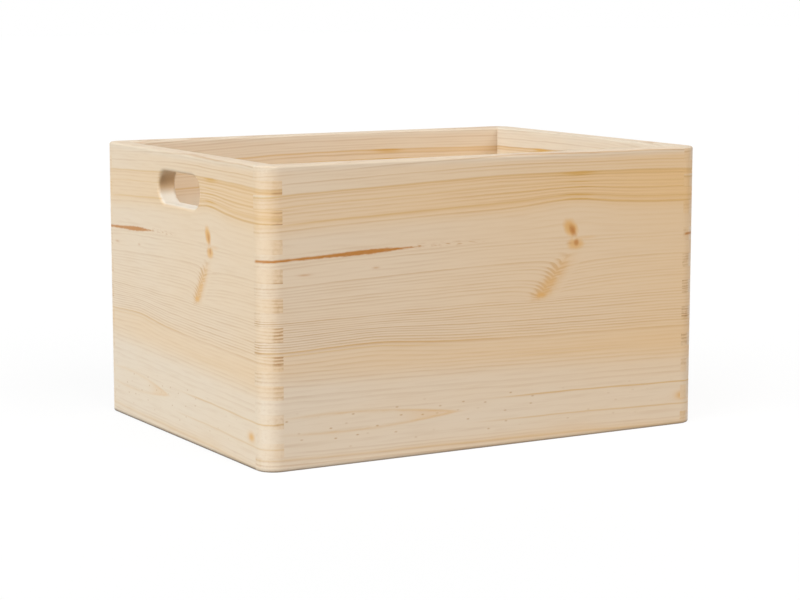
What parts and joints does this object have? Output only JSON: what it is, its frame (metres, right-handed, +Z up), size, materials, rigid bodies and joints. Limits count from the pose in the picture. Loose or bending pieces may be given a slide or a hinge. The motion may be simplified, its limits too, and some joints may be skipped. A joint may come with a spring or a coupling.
{
  "type": "open storage box",
  "caption": "Open rectangular pine box with rounded finger-jointed corners, a rounded rim, a hand slot through each short wall and a base panel held in a groove, for papers and keepsakes.",
  "frame": {"origin": "middle of the footprint, on the surface that the box stands on", "axes": "+Z up; +X along the long walls; the front wall faces -Y"},
  "size_m": [0.4, 0.3, 0.23],
  "materials": {
    "pine_wall": "bare sanded pine",
    "pine_base": "bare sanded pine"
  },
  "bodies": {
    "root": {"front_wall": "pine_wall", "back_wall": "pine_wall", "left_wall": "pine_wall", "right_wall": "pine_wall", "base_panel": "pine_base"}
  },
  "joints": []
}
